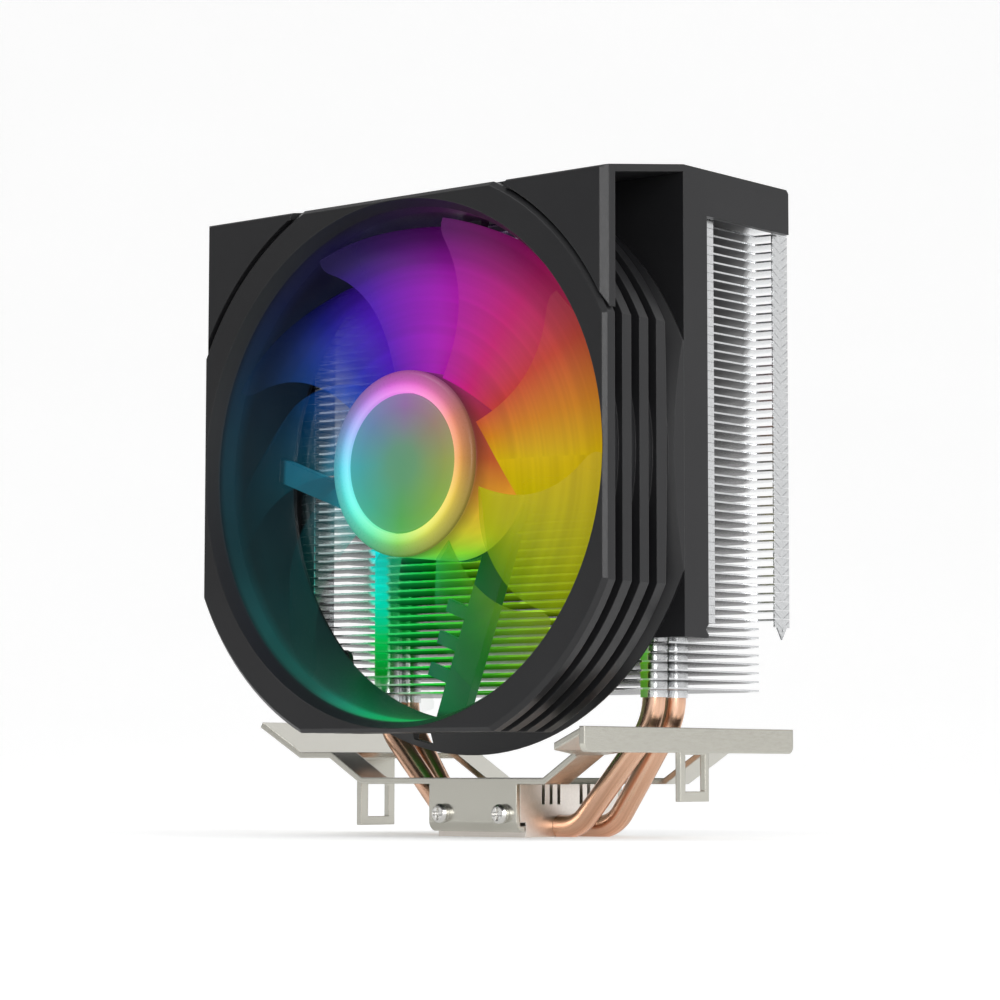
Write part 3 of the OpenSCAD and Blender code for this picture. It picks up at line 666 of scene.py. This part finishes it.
def piece(name, body, slot, points, faces, material, *nodes):
    """A smooth mesh from points in millimetres, with sharp edges kept, in place of the named CAD nodes."""
    mesh = bpy.data.meshes.new(name)
    mesh.from_pydata([[v * MM for v in point] for point in points], [], faces)
    work = bmesh.new()
    work.from_mesh(mesh)
    bmesh.ops.recalc_face_normals(work, faces=work.faces)
    work.to_mesh(mesh)
    work.free()
    mesh.shade_smooth()
    mesh.set_sharp_from_angle(angle=math.radians(40))
    mesh.materials.append(material)
    made = bpy.data.objects.new(name, mesh)
    scene.collection.objects.link(made)
    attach(made, body)
    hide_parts(*nodes)
    return made


def fan_point(radius, angle, depth):
    """A point from its distance and angle round the fan's axis and its depth behind the fan's front."""
    return (radius * math.cos(angle), FAN_FRONT / MM + depth, AXIS_Z / MM + radius * math.sin(angle))


def turned(profile, segments=160):
    """Points and faces of a closed profile of radius and depth, turned round the fan's axis."""
    count = len(profile)
    points = []
    for s in range(segments):
        angle = 2 * math.pi * s / segments
        points += [fan_point(radius, angle, depth) for radius, depth in profile]
    faces = []
    for s in range(segments):
        t = (s + 1) % segments
        for i in range(count):
            j = (i + 1) % count
            faces.append((s * count + i, s * count + j, t * count + j, t * count + i))
    return points, faces


def arc(centre, radius, start, end, steps=6):
    """Points on an arc, with angles in degrees."""
    turns = [math.radians(start + (end - start) * i / steps) for i in range(steps + 1)]
    return [(centre[0] + radius * math.cos(a), centre[1] + radius * math.sin(a)) for a in turns]


def make_hub():
    """Barrel, glowing ring and disc, with rounded edges."""
    barrel = [(HUB_RADIUS - 1.6, 22.4), (HUB_RADIUS - 1.6, 5.6), (2.0, 5.6), (2.0, 4.05)]
    barrel += arc((HUB_RADIUS - 0.8, 4.85), 0.8, -90, 0)
    barrel += arc((HUB_RADIUS - 0.3, 22.1), 0.3, 0, 90, 3)
    piece("hub_barrel", "rotor", "blade_plastic", *turned(barrel), barrel_light, "impeller")
    inner = DISC_RADIUS + 0.05
    lens = [(inner, 4.0), (inner, 3.0)]
    lens += arc((inner + 0.7, 3.0), 0.7, 180, 290, 8)
    lens += arc((HUB_RADIUS - 1.5, 4.0), 1.5, -70, 0, 8)
    piece("hub_ring", "rotor", "lens_plastic", *turned(lens), ring_light, "hub_lens")
    disc = [(0.05, 4.0), (DISC_RADIUS, 4.0)]
    disc += arc((DISC_RADIUS - 0.7, 3.5), 0.7, 0, -90)
    disc += [(DISC_RADIUS * f, 2.8 + 0.3 * (1 - f * f)) for f in (0.9, 0.8, 0.6, 0.4, 0.2)] + [(0.05, 3.1)]
    piece("hub_face", "rotor", "disc_label", *turned(disc), disc_light, "hub_disc")


BLADES = 9
BLADE_SWEEP = 24
BLADE_CHORD = 46
BLADE_FRONT = 4.4
BLADE_REAR = 21.2


def blade_surface(f, u, side):
    """Point of a blade: f from hub to tip, u from trailing to leading edge, side 1 in front and -1 behind."""
    radius = HUB_RADIUS - 0.4 + (TIP_RADIUS - HUB_RADIUS + 0.4) * f
    width = (BLADE_CHORD - 8 * f) * (1 - 0.22 * max(0.0, (f - 0.86) / 0.14) ** 2)
    angle = math.radians(BLADE_SWEEP * f * f + (u - 0.5) * width)
    front = BLADE_FRONT + 1.6 * (1 - f)
    rear = BLADE_REAR - 2.2 * f
    depth = front + (rear - front) * (1 - u - 0.12 * math.sin(math.pi * u))
    thick = (1.5 - 0.7 * f) * (0.12 + 0.88 * math.sin(math.pi * u) ** 0.6)
    return radius, angle, depth - side * thick / 2


def make_blades(rings=26, steps=26):
    """All blades, each a closed skin of loops from hub to tip."""
    points = []
    faces = []
    loop = 2 * steps + 2
    for blade in range(BLADES):
        turn = 2 * math.pi * blade / BLADES
        start = len(points)
        for i in range(rings + 1):
            for k in range(loop):
                u, side = (k / steps, 1) if k <= steps else ((loop - 1 - k) / steps, -1)
                radius, angle, depth = blade_surface(i / rings, u, side)
                points.append(fan_point(radius, angle + turn, depth))
        for i in range(rings):
            for k in range(loop):
                a = start + i * loop + k
                b = start + i * loop + (k + 1) % loop
                faces.append((a, b, b + loop, a + loop))
        tip = start + rings * loop
        faces += [(tip + k, tip + k + 1, tip + loop - 2 - k, tip + loop - 1 - k) for k in range(steps)]
    piece("fan_blades", "rotor", "blade_plastic", points, faces, blade_light, "impeller")


make_hub()
make_blades()

# The centre line of each pipe's right half, as in the CAD model
PIPE_AXIS_Z = 2.3
PIPE_LOWER_BEND = 8.0
PIPE_UPPER_BEND = 15.0


def pipe_line(foot_x, rise, steps=18):
    """Centres and directions along one half of a pipe, from the middle of the base to the top of the leg."""
    lower, upper = PIPE_LOWER_BEND, PIPE_UPPER_BEND
    knee_z = PIPE_AXIS_Z + (LEG_OFFSET - foot_x) * math.tan(rise)
    foot = (foot_x - lower * math.tan(rise / 2), PIPE_AXIS_Z + lower)
    knee = (LEG_OFFSET - upper, knee_z + upper * math.tan((math.pi / 2 - rise) / 2))
    line = [(0.0, PIPE_AXIS_Z, 0.0), (foot[0] / 2, PIPE_AXIS_Z, 0.0)]
    for i in range(steps + 1):
        angle = rise * i / steps
        line.append((foot[0] + lower * math.sin(angle), foot[1] - lower * math.cos(angle), angle))
    for i in range(steps + 1):
        angle = rise + (math.pi / 2 - rise) * i / steps
        line.append((knee[0] + upper * math.sin(angle), knee[1] - upper * math.cos(angle), angle))
    line.append((LEG_OFFSET, (knee[1] + PIPE_TOP) / 2, math.pi / 2))
    return line


def make_pipe(name, node, foot_x, rise_degrees, sides=40, dome=1.6):
    """A pipe swept along its line, flat where it meets the base's underside, with domed ends."""
    low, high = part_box(node)
    middle_y = (low.y + high.y) / 2 / MM
    half = [(x, z, angle, PIPE_RADIUS) for x, z, angle in pipe_line(foot_x, math.radians(rise_degrees))]
    for turn in (0, 25, 50, 70, 90):
        a = math.radians(turn)
        top = PIPE_TOP - dome + dome * math.sin(a)
        half.append((LEG_OFFSET, top, math.pi / 2, PIPE_RADIUS * (0.35 + 0.65 * math.cos(a))))
    line = [(-x, z, -angle, radius) for x, z, angle, radius in half[:0:-1]] + half
    points = []
    for x, z, angle, radius in line:
        for s in range(sides):
            turn = 2 * math.pi * s / sides
            out = radius * math.cos(turn)
            side_y = middle_y + radius * math.sin(turn)
            points.append((x - out * math.sin(angle), side_y, max(z + out * math.cos(angle), 0.0)))
    faces = []
    for i in range(len(line) - 1):
        for s in range(sides):
            t = (s + 1) % sides
            faces.append((i * sides + s, i * sides + t, (i + 1) * sides + t, (i + 1) * sides + s))
    last = (len(line) - 1) * sides
    faces += [tuple(range(sides)), tuple(last + s for s in range(sides))]
    piece(name, "cooler", "pipe_copper", points, faces, copper, node)


make_pipe("front_pipe", "heat_pipe_front", 18.7, 48.0)
make_pipe("rear_pipe", "heat_pipe_rear", 23.0, 55.5)


# ---------- Stage, lights and camera ----------


def stage_floor():
    """A pale floor that curves up into a backdrop behind the object."""
    mesh = bpy.data.meshes.new("studio_floor")
    front = -3.0
    back = 3.4
    radius = 2.4
    steps = 48
    half = 4.0
    line = [(front, 0.0)]
    for i in range(steps + 1):
        angle = math.pi / 2 * i / steps
        line.append((back - radius + radius * math.sin(angle), radius - radius * math.cos(angle)))
    line.append((back, 4.0))
    points = [(x, y, z) for y, z in line for x in (-half, half)]
    faces = [(2 * i, 2 * i + 1, 2 * i + 3, 2 * i + 2) for i in range(len(line) - 1)]
    mesh.from_pydata(points, [], faces)
    mesh.shade_smooth()
    floor = bpy.data.objects.new("studio_floor", mesh)
    scene.collection.objects.link(floor)
    floor.rotation_euler = (0.0, 0.0, math.radians(40))
    n = Nodes("pale_floor")
    cloud = n.noise(n.object_place(), 3.0)
    shader = n.principled(
        Base_Color=n.mix(cloud, rgb(0.84, 0.84, 0.84), rgb(0.87, 0.87, 0.87)), Roughness=0.9
    )
    shader.inputs["Emission Color"].default_value = rgb(1.0, 1.0, 1.0)
    shader.inputs["Emission Strength"].default_value = 0.3
    mesh.materials.append(n.finish(shader.outputs[0]))


stage_floor()

world = bpy.data.worlds.new("studio")
scene.world = world
world.use_nodes = True
sky = world.node_tree
sky.nodes.clear()
sky_out = sky.nodes.new("ShaderNodeOutputWorld")
sky_light = sky.nodes.new("ShaderNodeBackground")
sky_light.inputs["Color"].default_value = rgb(1.0, 1.0, 1.0)
sky.links.new(sky_light.outputs[0], sky_out.inputs["Surface"])

# The studio is dimmer on the left, so that faces turned that way are darker
sky_place = sky.nodes.new("ShaderNodeTexCoord")
sky_parts = sky.nodes.new("ShaderNodeSeparateXYZ")
sky_span = sky.nodes.new("ShaderNodeMapRange")
sky.links.new(sky_place.outputs["Generated"], sky_parts.inputs[0])
sky.links.new(sky_parts.outputs["X"], sky_span.inputs["Value"])
for socket_name, number in (("From Min", -0.8), ("From Max", 0.8), ("To Min", 0.36), ("To Max", 0.8)):
    sky_span.inputs[socket_name].default_value = number
sky.links.new(sky_span.outputs["Result"], sky_light.inputs["Strength"])


def area_light(name, place, target, size, power):
    data = bpy.data.lights.new(name, "AREA")
    data.shape = "RECTANGLE"
    data.size, data.size_y = size
    data.energy = power
    light = bpy.data.objects.new(name, data)
    light.location = place
    light.rotation_euler = (Vector(target) - Vector(place)).to_track_quat("-Z", "Y").to_euler()
    scene.collection.objects.link(light)


MIDDLE = (0.0, 0.0, 0.08)
area_light("key", (-0.5, -1.0, 1.5), MIDDLE, (0.9, 0.9), 8.0)
area_light("side", (1.3, 0.3, 0.8), MIDDLE, (0.7, 0.9), 6.0)
area_light("edge_light", (0.68, -0.55, 0.24), MIDDLE, (0.26, 0.42), 2.6)

camera_data = bpy.data.cameras.new("camera")
camera = bpy.data.objects.new("camera", camera_data)
scene.collection.objects.link(camera)
scene.camera = camera
CAMERA_PLACE = Vector((0.4589, -0.5591, 0.0150))
CAMERA_YAW = math.radians(39.87)
CAMERA_PITCH = math.radians(4.994)
CAMERA_ROLL = math.radians(0.065)
camera_data.lens = 111.58
camera_data.sensor_width = 36.0
camera_data.clip_start = 0.05
camera_data.clip_end = 20.0
camera.matrix_world = (
    Matrix.Translation(CAMERA_PLACE)
    @ Matrix.Rotation(CAMERA_YAW, 4, "Z")
    @ Matrix.Rotation(math.radians(90) + CAMERA_PITCH, 4, "X")
    @ Matrix.Rotation(CAMERA_ROLL, 4, "Z")
)

scene.view_settings.view_transform = "Standard"
